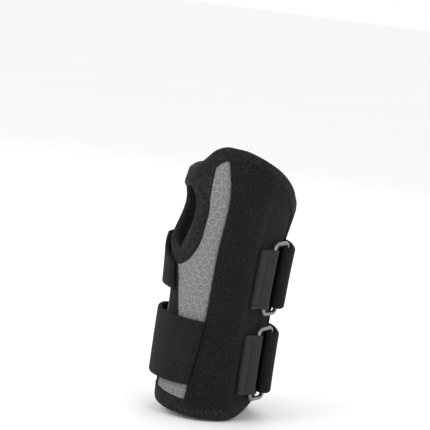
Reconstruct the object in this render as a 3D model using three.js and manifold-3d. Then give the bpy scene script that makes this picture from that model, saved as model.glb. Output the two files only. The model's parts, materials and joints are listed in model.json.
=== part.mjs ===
// Right-hand wrist splint: a laminated fabric sleeve with a thumb hole, a removable palmar stay in an
// outside pocket, two sewn-in side stays, and two bands that pull through wire rings and fold back.
//
// Millimetres. +Z runs up the forearm towards the fingers, +X is dorsal, +Y is ulnar and the thumb hole
// faces -Y. The sleeve is a tube about a gently bent centre line. A place on it is given by phi, the
// angle round the tube in degrees (0 dorsal, 90 ulnar, 180 palmar, 270 radial), by s, the distance up
// the centre line from the lower hem, and by h, the height above the sleeve's outer face. The sleeve is
// open at the back of the hand: it runs from phi 60 all the way round to phi 407.
import * as THREE from "three";
import { mergeVertices } from "three/addons/utils/BufferGeometryUtils.js";
import Module from "manifold-3d";

const wasm = await Module();
wasm.setup();

// ---- driving dimensions ----
const BEND_RADIUS = 1100; // the centre line bends back towards the dorsal side
const PALMAR_DEPTH = 26; // centre line to the outer face
const DORSAL_DEPTH = { forearm: 26, hand: 30.5, from: 102, to: 148 };
const HALF_BREADTH = { forearm: 34.5, hand: 41, from: 90, to: 146 };
const ROUNDNESS = 2.3; // superellipse exponent of the section
const THENAR = { phi: 225, s: 109, height: 6, spreadPhi: 24, spreadS: 24 }; // swell at the thumb's base
const ORIGIN_SHIFT = { x: -3.3, y: -1.15 }; // puts the origin under the middle of the box

const SHEET = 3.5; // laminated panel
const BINDING = { over: 0.5, under: 0.4, hem: 9.5, top: 8, side: 12 }; // side is in degrees
const GAP = 0.3; // between touching pieces
const GAP_DEG = 0.6;
const OPENING = { ulnar: 60, radial: 407 };
const SEAM = { ulnar: 90, palmar: 116, radial: 250 };
// phi at s along the overlay's radial edge
const OVERLAY_SEAM = [[0, 277], [18, 281], [56, 288.5], [100, 289], [122, 291], [137, 290], [153, 284]];

const BAND = { width: 37, thick: 2.4, lift: 1.1, start: 37, shiftFrom: 125, shiftTo: 205, overPocket: 0.2 };
const BANDS = [
  {
    name: "lower",
    rows: 2,
    s: 34.5,
    shift: { bottom: 4.5, top: 5.5 },
    anchor: [[16, 280.1], [37, 284.8], [57, 288]],
  },
  {
    name: "upper",
    rows: 8,
    s: 86.5,
    shift: { bottom: 4, top: -4 },
    anchor: [[68, 258], [72.5, 257.5], [80.5, 255], [87, 251], [90, 239], [96, 225], [105, 212]],
  },
];
const RING = { wire: 1.25, length: 41.5, corner: 3, innerPhi: -5.7, outerPhi: 24.2 };
const RING_HEIGHT = { inner: 4.35, outer: 4.85 };
const TORUS = { radius: 10, steps: 40, sides: 8 }; // bent into the ring
const FOLD_ARM = 4.6; // how far the fold reaches back under the ring
const KEEPER = { width: 36, from: -27, to: -12, topTo: -15, low: 2, high: 3.9 };
const KEEPER_LOOP = { inner: 1.6, outer: 2.5, lap: 0.3 };
const TAIL = { middle: 72, end: 118, corner: 5, level: 52 };
const HOOK = { from: 97, to: 112, inset: 2, thick: 1, gap: 0.7, rampFrom: 81, rampTo: 95 };
const STAY = { bottom: 23, top: 127, thick: 2, float: 1.6, spoonFrom: 93, spoonTo: 107 };
const STAY_PHI = { narrow: [136, 181.5], spoon: [129, 181.5] };
const STAY_TIP = { drop: 6, middle: 163, half: 30 };
const POCKET = { from: 119, to: 190, bottom: 20, top: 130, thick: 1.2, build: 3.7 };
const POCKET_RAMP = { near: 2, start: 8, end: 7 }; // degrees in from the pocket's sides
const BAND_RAMP = { start: 20, end: 60 }; // degrees out from the pocket's sides
const RADIAL_STAY = { phi: 312, halfDeg: 9, bottom: 24, top: 135, thick: 0.8 };
const ULNAR_STAY = { from: 76, to: 89, bottom: 16, top: 115, thick: 1 };
const STAY_COVER = { from: 72, to: 93, bottom: 13, top: 118, thick: 1 };
const OVERLAY = { thick: 1.2, to: 354.5, ridge: 1.1, flareFrom: 1, flareTo: 13 };

// ---- helpers ----
const { degToRad, lerp, smoothstep } = THREE.MathUtils;
const parts = new THREE.Group();

const finish = {
  mesh: new THREE.MeshStandardMaterial({ color: 0x6f7073, roughness: 0.95 }),
  loop: new THREE.MeshStandardMaterial({ color: 0x1b1a1b, roughness: 1 }),
  binding: new THREE.MeshStandardMaterial({ color: 0x1f1e20, roughness: 0.95 }),
  webbing: new THREE.MeshStandardMaterial({ color: 0x2e2e2c, roughness: 0.8 }),
  hook: new THREE.MeshStandardMaterial({ color: 0x151515, roughness: 0.7 }),
  wire: new THREE.MeshStandardMaterial({ color: 0x8d8a85, roughness: 0.35, metalness: 1 }),
  aluminium: new THREE.MeshStandardMaterial({ color: 0xb9bcc0, roughness: 0.4, metalness: 1 }),
  steel: new THREE.MeshStandardMaterial({ color: 0x8f9296, roughness: 0.35, metalness: 1 }),
};

// A smooth function through [place, value] knots, level beyond the ends.
function through(knots) {
  const slope = knots.map((k, i) => {
    const a = knots[Math.max(0, i - 1)];
    const b = knots[Math.min(knots.length - 1, i + 1)];
    return (b[1] - a[1]) / (b[0] - a[0]);
  });
  return (x) => {
    if (x <= knots[0][0]) return knots[0][1];
    if (x >= knots.at(-1)[0]) return knots.at(-1)[1];
    const i = knots.findIndex((k) => k[0] > x) - 1;
    const width = knots[i + 1][0] - knots[i][0];
    const t = (x - knots[i][0]) / width;
    const [y0, y1] = [knots[i][1], knots[i + 1][1]];
    const bend = (1 - t) * slope[i] * width - t * slope[i + 1] * width;
    return lerp(y0, y1, t * t * (3 - 2 * t)) + t * (1 - t) * bend;
  };
}

const upperEdge = through([
  [60, 123], [75, 128], [95, 135], [130, 141], [180, 143], [208, 143], [228, 142], [245, 143],
  [255, 146], [262, 151], [269, 156.5], [277, 159.7], [285, 160.5], [298, 160.3], [320, 156], [343, 150],
  [366, 142.5], [375, 138.5], [396, 129], [407, 119],
]);
const hem = through([
  [60, 10], [66, 3.5], [74, 0], [110, 0], [140, 1.5], [172, 6], [205, 8], [228, 6.5], [245, 4.8], [262, 3.2],
  [284, 1.7], [300, 1], [315, 0.5], [332, 0.5], [345, 2], [359, 4.5], [385, 11], [400, 17], [407, 25],
]);
const lowerEdge = (phi) => Math.max(0, hem(phi));

// ---- the sleeve's outer face ----
function sleeveRadius(phi, s) {
  const c = Math.cos(degToRad(phi));
  const n = Math.sin(degToRad(phi));
  const rise = smoothstep(s, DORSAL_DEPTH.from, DORSAL_DEPTH.to);
  const depth = c > 0 ? lerp(DORSAL_DEPTH.forearm, DORSAL_DEPTH.hand, rise) : PALMAR_DEPTH;
  const spread = smoothstep(s, HALF_BREADTH.from, HALF_BREADTH.to);
  const breadth = lerp(HALF_BREADTH.forearm, HALF_BREADTH.hand, spread);
  const sum = Math.abs(c / depth) ** ROUNDNESS + Math.abs(n / breadth) ** ROUNDNESS;
  const across = (((phi % 360) + 360) % 360 - THENAR.phi) / THENAR.spreadPhi;
  const along = (s - THENAR.s) / THENAR.spreadS;
  return sum ** (-1 / ROUNDNESS) + THENAR.height * Math.exp(-across * across - along * along);
}

// The palmar section at the hand, the same all the way up, so that the stay can slide along it.
function stayRadius(phi) {
  const c = Math.cos(degToRad(phi));
  const n = Math.sin(degToRad(phi));
  const sum = Math.abs(c / PALMAR_DEPTH) ** ROUNDNESS + Math.abs(n / HALF_BREADTH.hand) ** ROUNDNESS;
  return sum ** (-1 / ROUNDNESS);
}

function sectionPoint(radius, phi, s) {
  const r = radius(phi, s);
  return new THREE.Vector2(r * Math.cos(degToRad(phi)), r * Math.sin(degToRad(phi)));
}

function sectionNormal(radius, phi, s) {
  const step = 0.5;
  const along = sectionPoint(radius, phi + step, s).sub(sectionPoint(radius, phi - step, s));
  return new THREE.Vector2(along.y, -along.x).normalize();
}

const inSection = (radius, phi, s, h) =>
  sectionPoint(radius, phi, s).addScaledVector(sectionNormal(radius, phi, s), h);

// The frame of the section at s: X and Y in its plane, Z along the centre line.
function sectionFrame(s) {
  const a = s / BEND_RADIUS;
  const frame = new THREE.Matrix4().makeBasis(
    new THREE.Vector3(Math.cos(a), 0, -Math.sin(a)),
    new THREE.Vector3(0, 1, 0),
    new THREE.Vector3(Math.sin(a), 0, Math.cos(a)),
  );
  return frame.setPosition(BEND_RADIUS * (1 - Math.cos(a)), 0, BEND_RADIUS * Math.sin(a));
}

function onSleeve(phi, s, h) {
  const p = inSection(sleeveRadius, phi, s, h);
  return new THREE.Vector3(p.x, p.y, 0).applyMatrix4(sectionFrame(s));
}

function onStayPath(phi, s, h) {
  const p = inSection(stayRadius, phi, s, h);
  return new THREE.Vector3(p.x, p.y, 0).applyMatrix4(sectionFrame(s));
}

// A place that passes over the stay's pocket: share is 1 over the pocket and 0 clear of it.
const overPocket = (share) => (phi, s, h) =>
  onSleeve(phi, s, h).lerp(onStayPath(phi, s, h + POCKET.build), share(phi));
const coverShare = (phi) => {
  const { near, start, end } = POCKET_RAMP;
  const down = smoothstep(phi, POCKET.to - end, POCKET.to - near);
  return smoothstep(phi, POCKET.from + near, POCKET.from + start) * (1 - down);
};
const bandShare = (phi) => {
  const down = smoothstep(phi, POCKET.to, POCKET.to + BAND_RAMP.end);
  return smoothstep(phi, POCKET.from - BAND_RAMP.start, POCKET.from) * (1 - down);
};

function welded(geometry) {
  geometry.deleteAttribute("normal");
  geometry.deleteAttribute("uv");
  return mergeVertices(geometry, 1e-3);
}

function add(name, geometry, material) {
  const mesh = new THREE.Mesh(welded(geometry), finish[material]);
  mesh.name = name;
  parts.add(mesh);
}

function asSolid(geometry) {
  const { attributes, index } = welded(geometry);
  const vertProperties = new Float32Array(attributes.position.array);
  const triVerts = new Uint32Array(index.array);
  return new wasm.Manifold(new wasm.Mesh({ numProp: 3, vertProperties, triVerts }));
}

// What the cutter leaves of a geometry, without loose slivers.
function cutBy(geometry, cutter) {
  const pieces = asSolid(geometry).subtract(asSolid(cutter)).decompose();
  pieces.sort((a, b) => b.volume() - a.volume());
  const { vertProperties, triVerts } = pieces[0].getMesh();
  const result = new THREE.BufferGeometry();
  result.setAttribute("position", new THREE.BufferAttribute(vertProperties, 3));
  return result.setIndex(new THREE.BufferAttribute(triVerts, 1));
}

// Moves every corner of a geometry to where place puts it.
function moulded(geometry, place) {
  const corners = geometry.getAttribute("position");
  const corner = new THREE.Vector3();
  for (let i = 0; i < corners.count; i++) {
    corner.fromBufferAttribute(corners, i);
    const p = place(corner.x, corner.y, corner.z);
    corners.setXYZ(i, p.x, p.y, p.z);
  }
  return geometry;
}

// A cut panel: a slab whose sides follow left and right (phi at a given s), whose ends follow bottom and
// top (s at a given phi), and whose faces lie at low and high above the sleeve.
function slab({ left, right, bottom, top, low, high, across, rows, place = onSleeve }) {
  const side = (edge, share) => {
    let phi = edge((bottom(180) + top(180)) / 2);
    for (let pass = 0; pass < 6; pass++) phi = edge(lerp(bottom(phi), top(phi), share));
    return phi;
  };
  const level = (value, phi, s) => (typeof value === "function" ? value(phi, s) : value);
  return moulded(new THREE.BoxGeometry(1, 1, 1, across, rows, 1), (x, y, z) => {
    const share = y + 0.5;
    const phi = lerp(side(left, share), side(right, share), x + 0.5);
    const s = lerp(bottom(phi), top(phi), share);
    return place(phi, s, level(z > 0 ? high : low, phi, s));
  });
}

const panel = (name, material, cut) => add(name, slab(cut), material);

// A piece of one section, extruded along the centre line and centred on s.
function extrudedAt(s, shape, width) {
  const geometry = new THREE.ExtrudeGeometry(shape, { depth: width, bevelEnabled: false, curveSegments: 6 });
  return geometry.translate(0, 0, -width / 2).applyMatrix4(sectionFrame(s));
}

// ---- thumb hole ----
const MM_PER_DEGREE = 0.62;
const RIM = { width: 9, most: 24, segments: 72 };
const RIM_SIDE = { phi: 273.5, from: 118, lean: 0.1 }; // the line its dorsal side follows above s = from
const CUTTER = { inner: -3, low: -6, high: 3 };
const holeCorners = [
  [245, 95.3], [254.5, 102.5], [258.5, 114], [259.5, 125.5], [252, 131.5], [236, 130.5], [217, 127],
  [208.5, 118], [217, 104],
];
const holeCurve = new THREE.CatmullRomCurve3(
  holeCorners.map(([phi, s]) => new THREE.Vector3(phi * MM_PER_DEGREE, s, 0)),
  true,
);

// The edge of the hole at a share of the way round, out millimetres away from it.
function holeEdge(share, out) {
  const p = holeCurve.getPoint(share);
  const t = holeCurve.getTangent(share);
  return [(p.x + t.y * out) / MM_PER_DEGREE, p.y - t.x * out];
}

// The rim's width. Its dorsal side runs straight up to the distal binding.
function rimWidth(share) {
  const p = holeCurve.getPoint(share);
  const t = holeCurve.getTangent(share);
  if (p.y < RIM_SIDE.from || t.y < RIM_SIDE.lean) return RIM.width;
  return Math.min(RIM.most, Math.max(RIM.width, (RIM_SIDE.phi * MM_PER_DEGREE - p.x) / t.y));
}

// A ring round the hole, from inner millimetres off its edge to spare short of the rim's outer edge, that
// stops at the limit of s.
function ringRound({ inner, spare, low, high, limit = () => Infinity }) {
  const profile = [[1, 0], [2, 0], [2, 1], [1, 1], [1, 0]].map(([x, y]) => new THREE.Vector2(x, y));
  return moulded(new THREE.LatheGeometry(profile, RIM.segments), (x, y, z) => {
    const turn = Math.round((Math.atan2(x, z) / (2 * Math.PI)) * RIM.segments) + RIM.segments;
    const share = (turn % RIM.segments) / RIM.segments;
    const [phi, s] = holeEdge(share, Math.hypot(x, z) > 1.5 ? rimWidth(share) - spare : inner);
    return onSleeve(phi, Math.min(s, limit(phi)), y > 0.5 ? high : low);
  });
}

// ---- sleeve ----
const sheetBottom = (phi) => lowerEdge(phi) + BINDING.hem + GAP;
const sheetTop = (phi) => upperEdge(phi) - BINDING.top - GAP;
const SHEET_ROWS = 12;
const SHEET_FACES = { bottom: sheetBottom, top: sheetTop, low: -SHEET, high: 0 };
const at = (phi) => () => phi;
const overlaySeam = through(OVERLAY_SEAM);

panel("ulnar_panel", "loop", {
  ...SHEET_FACES,
  left: at(OPENING.ulnar + BINDING.side + GAP_DEG),
  right: at(SEAM.ulnar - GAP_DEG),
  across: 3,
  rows: 8,
});
panel("ulnar_mesh_panel", "mesh", {
  ...SHEET_FACES,
  left: at(SEAM.ulnar),
  right: at(SEAM.palmar - GAP_DEG),
  across: 4,
  rows: 8,
});
for (const [name, from, to, across] of [
  ["palmar_panel", SEAM.palmar, at(SEAM.radial), 16],
  ["radial_mesh_panel", SEAM.radial, overlaySeam, 6],
]) {
  const right = (s) => to(s) - GAP_DEG;
  const sheet = slab({ ...SHEET_FACES, left: at(from), right, across, rows: SHEET_ROWS });
  add(name, cutBy(sheet, ringRound({ ...CUTTER, spare: 0 })), "mesh");
}
panel("dorsal_panel", "loop", {
  ...SHEET_FACES,
  left: overlaySeam,
  right: at(OPENING.radial - BINDING.side - GAP_DEG),
  across: 16,
  rows: SHEET_ROWS,
});

// ---- bindings ----
const bound = { low: -SHEET - BINDING.under, high: BINDING.over };
panel("proximal_binding", "binding", {
  ...bound,
  left: at(OPENING.ulnar),
  right: at(OPENING.radial),
  bottom: lowerEdge,
  top: (phi) => lowerEdge(phi) + BINDING.hem,
  across: 56,
  rows: 1,
});
panel("distal_binding", "binding", {
  ...bound,
  left: at(OPENING.ulnar),
  right: at(OPENING.radial),
  bottom: (phi) => upperEdge(phi) - BINDING.top,
  top: upperEdge,
  across: 84,
  rows: 1,
});
for (const [name, phi] of [
  ["ulnar_edge_binding", OPENING.ulnar],
  ["dorsal_edge_binding", OPENING.radial - BINDING.side],
]) {
  panel(name, "binding", {
    ...bound,
    left: at(phi),
    right: at(phi + BINDING.side),
    bottom: (angle) => sheetBottom(angle) + 2 * GAP,
    top: (angle) => sheetTop(angle) - 2 * GAP,
    across: 3,
    rows: 8,
  });
}

const rim = ringRound({ ...bound, inner: 0, spare: GAP, limit: (phi) => sheetTop(phi) - GAP });
add("thumb_hole_binding", rim, "binding");

// ---- overlay and sewn-in side stays ----
const ridge = (phi) => {
  const off = Math.abs(phi - RADIAL_STAY.phi) - RADIAL_STAY.halfDeg;
  return OVERLAY.ridge * (1 - smoothstep(off, OVERLAY.flareFrom, OVERLAY.flareTo));
};
panel("dorsal_overlay", "loop", {
  left: (s) => overlaySeam(s) + GAP_DEG,
  right: at(OVERLAY.to),
  bottom: sheetBottom,
  top: sheetTop,
  low: (phi) => GAP + ridge(phi),
  high: (phi) => GAP + ridge(phi) + OVERLAY.thick,
  across: 24,
  rows: SHEET_ROWS,
});
panel("radial_stay", "steel", {
  left: at(RADIAL_STAY.phi - RADIAL_STAY.halfDeg),
  right: at(RADIAL_STAY.phi + RADIAL_STAY.halfDeg),
  bottom: at(RADIAL_STAY.bottom),
  top: at(RADIAL_STAY.top),
  low: GAP,
  high: GAP + RADIAL_STAY.thick,
  across: 3,
  rows: 10,
});
panel("ulnar_stay", "steel", {
  left: at(ULNAR_STAY.from),
  right: at(ULNAR_STAY.to),
  bottom: at(ULNAR_STAY.bottom),
  top: at(ULNAR_STAY.top),
  low: -SHEET - GAP - ULNAR_STAY.thick,
  high: -SHEET - GAP,
  across: 2,
  rows: 8,
});
panel("ulnar_stay_cover", "binding", {
  left: at(STAY_COVER.from),
  right: at(STAY_COVER.to),
  bottom: at(STAY_COVER.bottom),
  top: at(STAY_COVER.top),
  low: -SHEET - 2 * GAP - ULNAR_STAY.thick - STAY_COVER.thick,
  high: -SHEET - 2 * GAP - ULNAR_STAY.thick,
  across: 4,
  rows: 8,
});

// ---- palmar stay and its pocket ----
const spoon = (s) => smoothstep(s, STAY.spoonFrom, STAY.spoonTo);
panel("palmar_stay", "aluminium", {
  left: (s) => lerp(STAY_PHI.narrow[0], STAY_PHI.spoon[0], spoon(s)),
  right: (s) => lerp(STAY_PHI.narrow[1], STAY_PHI.spoon[1], spoon(s)),
  bottom: at(STAY.bottom),
  top: (phi) => STAY.top - STAY_TIP.drop * ((phi - STAY_TIP.middle) / STAY_TIP.half) ** 4,
  low: STAY.float,
  high: STAY.float + STAY.thick,
  across: 8,
  rows: 14,
  place: onStayPath,
});
panel("palmar_stay_pocket", "loop", {
  left: at(POCKET.from),
  right: at(POCKET.to),
  bottom: (phi) => Math.max(POCKET.bottom, sheetBottom(phi) + GAP),
  top: (phi) => Math.min(POCKET.top, sheetTop(phi) - GAP),
  low: GAP,
  high: GAP + POCKET.thick,
  across: 24,
  rows: 8,
  place: overPocket(coverShare),
});

// ---- bands, rings and keepers ----
const bandLow = (phi) => lerp(BAND.lift, POCKET.thick + 2 * GAP + BAND.overPocket, bandShare(phi));
const bandHigh = (phi) => bandLow(phi) + BAND.thick;
const tailLow = (phi) => {
  const overRing = RING_HEIGHT.outer + RING.wire - BAND.lift - BAND.thick;
  const hook = (HOOK.thick + HOOK.gap) * smoothstep(phi, HOOK.rampFrom, HOOK.rampTo);
  return bandHigh(phi) + GAP + overRing * (1 - smoothstep(phi, RING.outerPhi + 3, TAIL.level)) + hook;
};
const tailHigh = (phi) => tailLow(phi) + BAND.thick;

const shiftShare = (phi) => smoothstep(phi, BAND.shiftFrom, BAND.shiftTo);

// The ring's centre line: two legs along the centre line of the sleeve and two short ends.
function ringLoop(spacing) {
  const w = spacing / 2 - RING.corner;
  const l = RING.length / 2 - RING.corner;
  const loop = new THREE.Shape();
  loop.absarc(w, l, RING.corner, 0, Math.PI / 2, false);
  loop.absarc(-w, l, RING.corner, Math.PI / 2, Math.PI, false);
  loop.absarc(-w, -l, RING.corner, Math.PI, 1.5 * Math.PI, false);
  loop.absarc(w, -l, RING.corner, 1.5 * Math.PI, 2 * Math.PI, false);
  loop.closePath();
  return loop;
}

for (const band of BANDS) {
  const ends = { bottom: at(band.s - BAND.width / 2), top: at(band.s + BAND.width / 2) };
  const frame = sectionFrame(band.s);
  const inner = inSection(sleeveRadius, RING.innerPhi, band.s, RING_HEIGHT.inner);
  const outer = inSection(sleeveRadius, RING.outerPhi, band.s, RING_HEIGHT.outer);

  // wire ring
  const loop = ringLoop(inner.distanceTo(outer));
  const wire = new THREE.TorusGeometry(TORUS.radius, RING.wire, TORUS.sides, TORUS.steps);
  const acrossRing = outer.clone().sub(inner).normalize();
  const ringPlane = new THREE.Matrix4().makeBasis(
    new THREE.Vector3(acrossRing.x, acrossRing.y, 0),
    new THREE.Vector3(0, 0, 1),
    new THREE.Vector3(acrossRing.y, -acrossRing.x, 0),
  );
  ringPlane.setPosition((inner.x + outer.x) / 2, (inner.y + outer.y) / 2, 0).premultiply(frame);
  moulded(wire, (x, y, z) => {
    const turn = Math.round((Math.atan2(y, x) / (2 * Math.PI)) * TORUS.steps);
    const share = (turn / TORUS.steps + 1) % 1;
    const p = loop.getPointAt(share);
    const t = loop.getTangentAt(share);
    const out = Math.hypot(x, y) - TORUS.radius;
    return new THREE.Vector3(p.x + t.y * out, p.y - t.x * out, z).applyMatrix4(ringPlane);
  });
  add(`${band.name}_ring`, wire, "wire");

  // webbing keeper that holds the ring's inner leg
  const keeper = new THREE.Shape();
  const tab = (phi, h) => inSection(sleeveRadius, phi, band.s, h);
  const steps = 4;
  const normal = sectionNormal(sleeveRadius, RING.innerPhi, band.s).angle();
  keeper.moveTo(tab(KEEPER.from, KEEPER.high).x, tab(KEEPER.from, KEEPER.high).y);
  for (let i = 0; i <= steps; i++) {
    const p = tab(lerp(KEEPER.from, KEEPER.to, i / steps), KEEPER.low);
    keeper.lineTo(p.x, p.y);
  }
  keeper.absarc(inner.x, inner.y, KEEPER_LOOP.outer, normal + Math.PI, normal - KEEPER_LOOP.lap, true);
  for (let i = steps; i > 0; i--) {
    const p = tab(lerp(KEEPER.from, KEEPER.topTo, i / steps), KEEPER.high);
    keeper.lineTo(p.x, p.y);
  }
  keeper.holes.push(new THREE.Path().absarc(inner.x, inner.y, KEEPER_LOOP.inner, 0, 2 * Math.PI, false));
  add(`${band.name}_ring_keeper`, extrudedAt(band.s, keeper, KEEPER.width), "webbing");

  // the band's long run, from its sewn end round the palm to just short of the ring
  const anchor = through(band.anchor);
  panel(`${band.name}_band`, "loop", {
    left: at(BAND.start),
    right: anchor,
    bottom: (phi) => ends.bottom() + band.shift.bottom * shiftShare(phi),
    top: (phi) => ends.top() + band.shift.top * shiftShare(phi),
    low: bandLow,
    high: bandHigh,
    across: 56,
    rows: band.rows,
    place: overPocket(bandShare),
  });

  // the fold under and round the ring's outer leg
  const out = sectionNormal(sleeveRadius, RING.outerPhi, band.s);
  const along = new THREE.Vector2(-out.y, out.x);
  const near = RING.wire + GAP;
  const far = near + BAND.thick;
  const fold = new THREE.Shape();
  const from = (u, v) => outer.clone().addScaledVector(along, u).addScaledVector(out, v);
  fold.moveTo(from(FOLD_ARM, -near).x, from(FOLD_ARM, -near).y);
  fold.absarc(outer.x, outer.y, near, out.angle() + Math.PI, out.angle() + 1.5 * Math.PI, false);
  fold.absarc(outer.x, outer.y, far, out.angle() + 1.5 * Math.PI, out.angle() + Math.PI, true);
  fold.lineTo(from(FOLD_ARM, -far).x, from(FOLD_ARM, -far).y);
  add(`${band.name}_band_fold`, extrudedAt(band.s, fold, BAND.width), "loop");

  // the tail that lies back over the band, in two lengths, and its hook patch
  const tail = { ...ends, low: tailLow, high: tailHigh, rows: 2, place: overPocket(bandShare) };
  const tailFrom = RING.outerPhi;
  panel(`${band.name}_tail`, "loop", { ...tail, left: at(tailFrom), right: at(TAIL.middle), across: 10 });
  panel(`${band.name}_tail_end`, "loop", {
    ...tail,
    left: at(TAIL.middle + 2 * GAP_DEG),
    right: (s) => TAIL.end - TAIL.corner * (Math.abs(s - band.s) / (BAND.width / 2)) ** 4,
    across: 16,
  });
  panel(`${band.name}_hook_patch`, "hook", {
    bottom: at(ends.bottom() + HOOK.inset),
    top: at(ends.top() - HOOK.inset),
    left: at(HOOK.from),
    right: at(HOOK.to),
    low: (phi) => tailLow(phi) - HOOK.gap - HOOK.thick,
    high: (phi) => tailLow(phi) - HOOK.gap,
    across: 6,
    rows: 2,
    place: overPocket(bandShare),
  });
}

parts.position.set(ORIGIN_SHIFT.x, ORIGIN_SHIFT.y, 0);
export default parts;
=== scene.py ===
"""The looks of a right-hand wrist splint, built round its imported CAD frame.

Lengths are in millimetres until a vertex is placed. A place on the sleeve is (phi, s, h): phi is the
angle round the tube in degrees (0 dorsal, 90 ulnar, 180 palmar, 270 radial), s the distance up the
centre line from the hem and h the height above the sleeve's outer face.
"""
import json
import math

import bmesh
import bpy
from mathutils import Matrix, Vector, noise
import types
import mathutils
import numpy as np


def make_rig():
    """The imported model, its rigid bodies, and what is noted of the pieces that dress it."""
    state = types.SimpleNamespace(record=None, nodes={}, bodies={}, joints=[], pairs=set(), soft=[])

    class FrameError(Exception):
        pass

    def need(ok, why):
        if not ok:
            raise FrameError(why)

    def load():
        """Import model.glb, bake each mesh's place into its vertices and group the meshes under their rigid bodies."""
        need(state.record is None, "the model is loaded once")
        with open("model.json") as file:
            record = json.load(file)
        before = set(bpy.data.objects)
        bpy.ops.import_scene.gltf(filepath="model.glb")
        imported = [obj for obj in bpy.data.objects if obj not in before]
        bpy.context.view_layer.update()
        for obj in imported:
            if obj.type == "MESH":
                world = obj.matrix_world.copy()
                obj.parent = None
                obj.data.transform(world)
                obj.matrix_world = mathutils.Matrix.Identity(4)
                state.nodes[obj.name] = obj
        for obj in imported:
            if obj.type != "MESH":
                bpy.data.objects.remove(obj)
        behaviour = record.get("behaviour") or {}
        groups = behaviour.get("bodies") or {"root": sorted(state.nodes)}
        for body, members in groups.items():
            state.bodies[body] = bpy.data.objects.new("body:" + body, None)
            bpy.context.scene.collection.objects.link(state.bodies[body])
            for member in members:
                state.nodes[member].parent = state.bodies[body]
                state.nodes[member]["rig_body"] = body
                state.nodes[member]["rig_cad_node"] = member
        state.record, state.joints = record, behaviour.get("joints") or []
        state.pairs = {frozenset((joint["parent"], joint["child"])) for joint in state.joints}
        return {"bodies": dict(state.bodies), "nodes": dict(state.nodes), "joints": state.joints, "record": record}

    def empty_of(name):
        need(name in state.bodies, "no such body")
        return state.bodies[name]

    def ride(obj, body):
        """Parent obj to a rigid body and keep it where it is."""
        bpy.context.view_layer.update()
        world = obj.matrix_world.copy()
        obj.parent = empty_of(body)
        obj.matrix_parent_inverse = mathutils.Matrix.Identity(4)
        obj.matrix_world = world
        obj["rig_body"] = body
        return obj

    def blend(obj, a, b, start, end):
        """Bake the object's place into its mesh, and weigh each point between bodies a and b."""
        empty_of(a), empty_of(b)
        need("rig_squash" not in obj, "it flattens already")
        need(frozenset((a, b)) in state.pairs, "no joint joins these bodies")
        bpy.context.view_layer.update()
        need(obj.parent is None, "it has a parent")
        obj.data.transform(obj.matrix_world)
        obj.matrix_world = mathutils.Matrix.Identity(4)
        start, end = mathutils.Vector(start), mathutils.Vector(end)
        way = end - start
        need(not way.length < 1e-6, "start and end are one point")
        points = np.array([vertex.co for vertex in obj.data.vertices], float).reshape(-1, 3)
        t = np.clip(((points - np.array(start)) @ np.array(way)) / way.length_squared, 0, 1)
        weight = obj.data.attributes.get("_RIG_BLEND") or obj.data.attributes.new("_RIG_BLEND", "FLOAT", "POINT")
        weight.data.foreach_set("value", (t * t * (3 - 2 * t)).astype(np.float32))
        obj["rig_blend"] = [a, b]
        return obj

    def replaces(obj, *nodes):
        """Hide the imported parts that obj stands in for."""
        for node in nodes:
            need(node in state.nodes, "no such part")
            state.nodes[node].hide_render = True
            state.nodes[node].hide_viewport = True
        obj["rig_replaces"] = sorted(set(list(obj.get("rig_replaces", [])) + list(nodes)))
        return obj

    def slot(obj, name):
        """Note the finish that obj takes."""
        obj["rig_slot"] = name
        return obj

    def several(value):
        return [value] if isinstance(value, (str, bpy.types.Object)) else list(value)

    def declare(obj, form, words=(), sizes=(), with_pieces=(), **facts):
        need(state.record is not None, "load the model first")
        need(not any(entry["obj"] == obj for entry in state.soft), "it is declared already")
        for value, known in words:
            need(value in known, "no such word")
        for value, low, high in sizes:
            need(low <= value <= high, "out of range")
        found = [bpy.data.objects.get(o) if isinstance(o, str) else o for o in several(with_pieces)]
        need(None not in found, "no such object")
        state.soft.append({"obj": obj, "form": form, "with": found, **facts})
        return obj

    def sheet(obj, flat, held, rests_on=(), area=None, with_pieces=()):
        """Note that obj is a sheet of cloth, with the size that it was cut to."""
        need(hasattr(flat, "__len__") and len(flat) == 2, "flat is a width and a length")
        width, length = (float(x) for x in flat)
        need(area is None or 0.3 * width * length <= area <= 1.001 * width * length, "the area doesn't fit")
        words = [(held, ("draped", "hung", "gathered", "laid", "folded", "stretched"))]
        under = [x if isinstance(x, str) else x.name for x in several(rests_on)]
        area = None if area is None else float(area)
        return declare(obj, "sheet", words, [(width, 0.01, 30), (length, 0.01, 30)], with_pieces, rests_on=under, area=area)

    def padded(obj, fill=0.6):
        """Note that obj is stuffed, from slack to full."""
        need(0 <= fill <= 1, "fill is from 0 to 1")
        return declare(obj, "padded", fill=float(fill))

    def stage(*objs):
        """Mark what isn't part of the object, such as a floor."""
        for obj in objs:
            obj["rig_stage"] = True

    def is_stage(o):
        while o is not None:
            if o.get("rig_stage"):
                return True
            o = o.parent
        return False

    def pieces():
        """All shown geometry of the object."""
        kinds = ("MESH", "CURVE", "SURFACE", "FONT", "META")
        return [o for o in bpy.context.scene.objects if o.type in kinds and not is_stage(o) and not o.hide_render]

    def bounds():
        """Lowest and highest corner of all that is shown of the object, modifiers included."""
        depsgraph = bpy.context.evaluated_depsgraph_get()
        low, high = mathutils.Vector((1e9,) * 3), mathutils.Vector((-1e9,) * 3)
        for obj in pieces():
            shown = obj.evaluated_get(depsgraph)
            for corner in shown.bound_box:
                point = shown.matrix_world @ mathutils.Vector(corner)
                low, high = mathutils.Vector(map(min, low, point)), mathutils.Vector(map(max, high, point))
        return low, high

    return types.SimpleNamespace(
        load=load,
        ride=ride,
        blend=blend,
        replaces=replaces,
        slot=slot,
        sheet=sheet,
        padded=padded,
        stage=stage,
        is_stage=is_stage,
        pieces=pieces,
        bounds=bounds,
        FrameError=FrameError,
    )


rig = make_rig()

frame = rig.load()
cad_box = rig.bounds()

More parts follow.
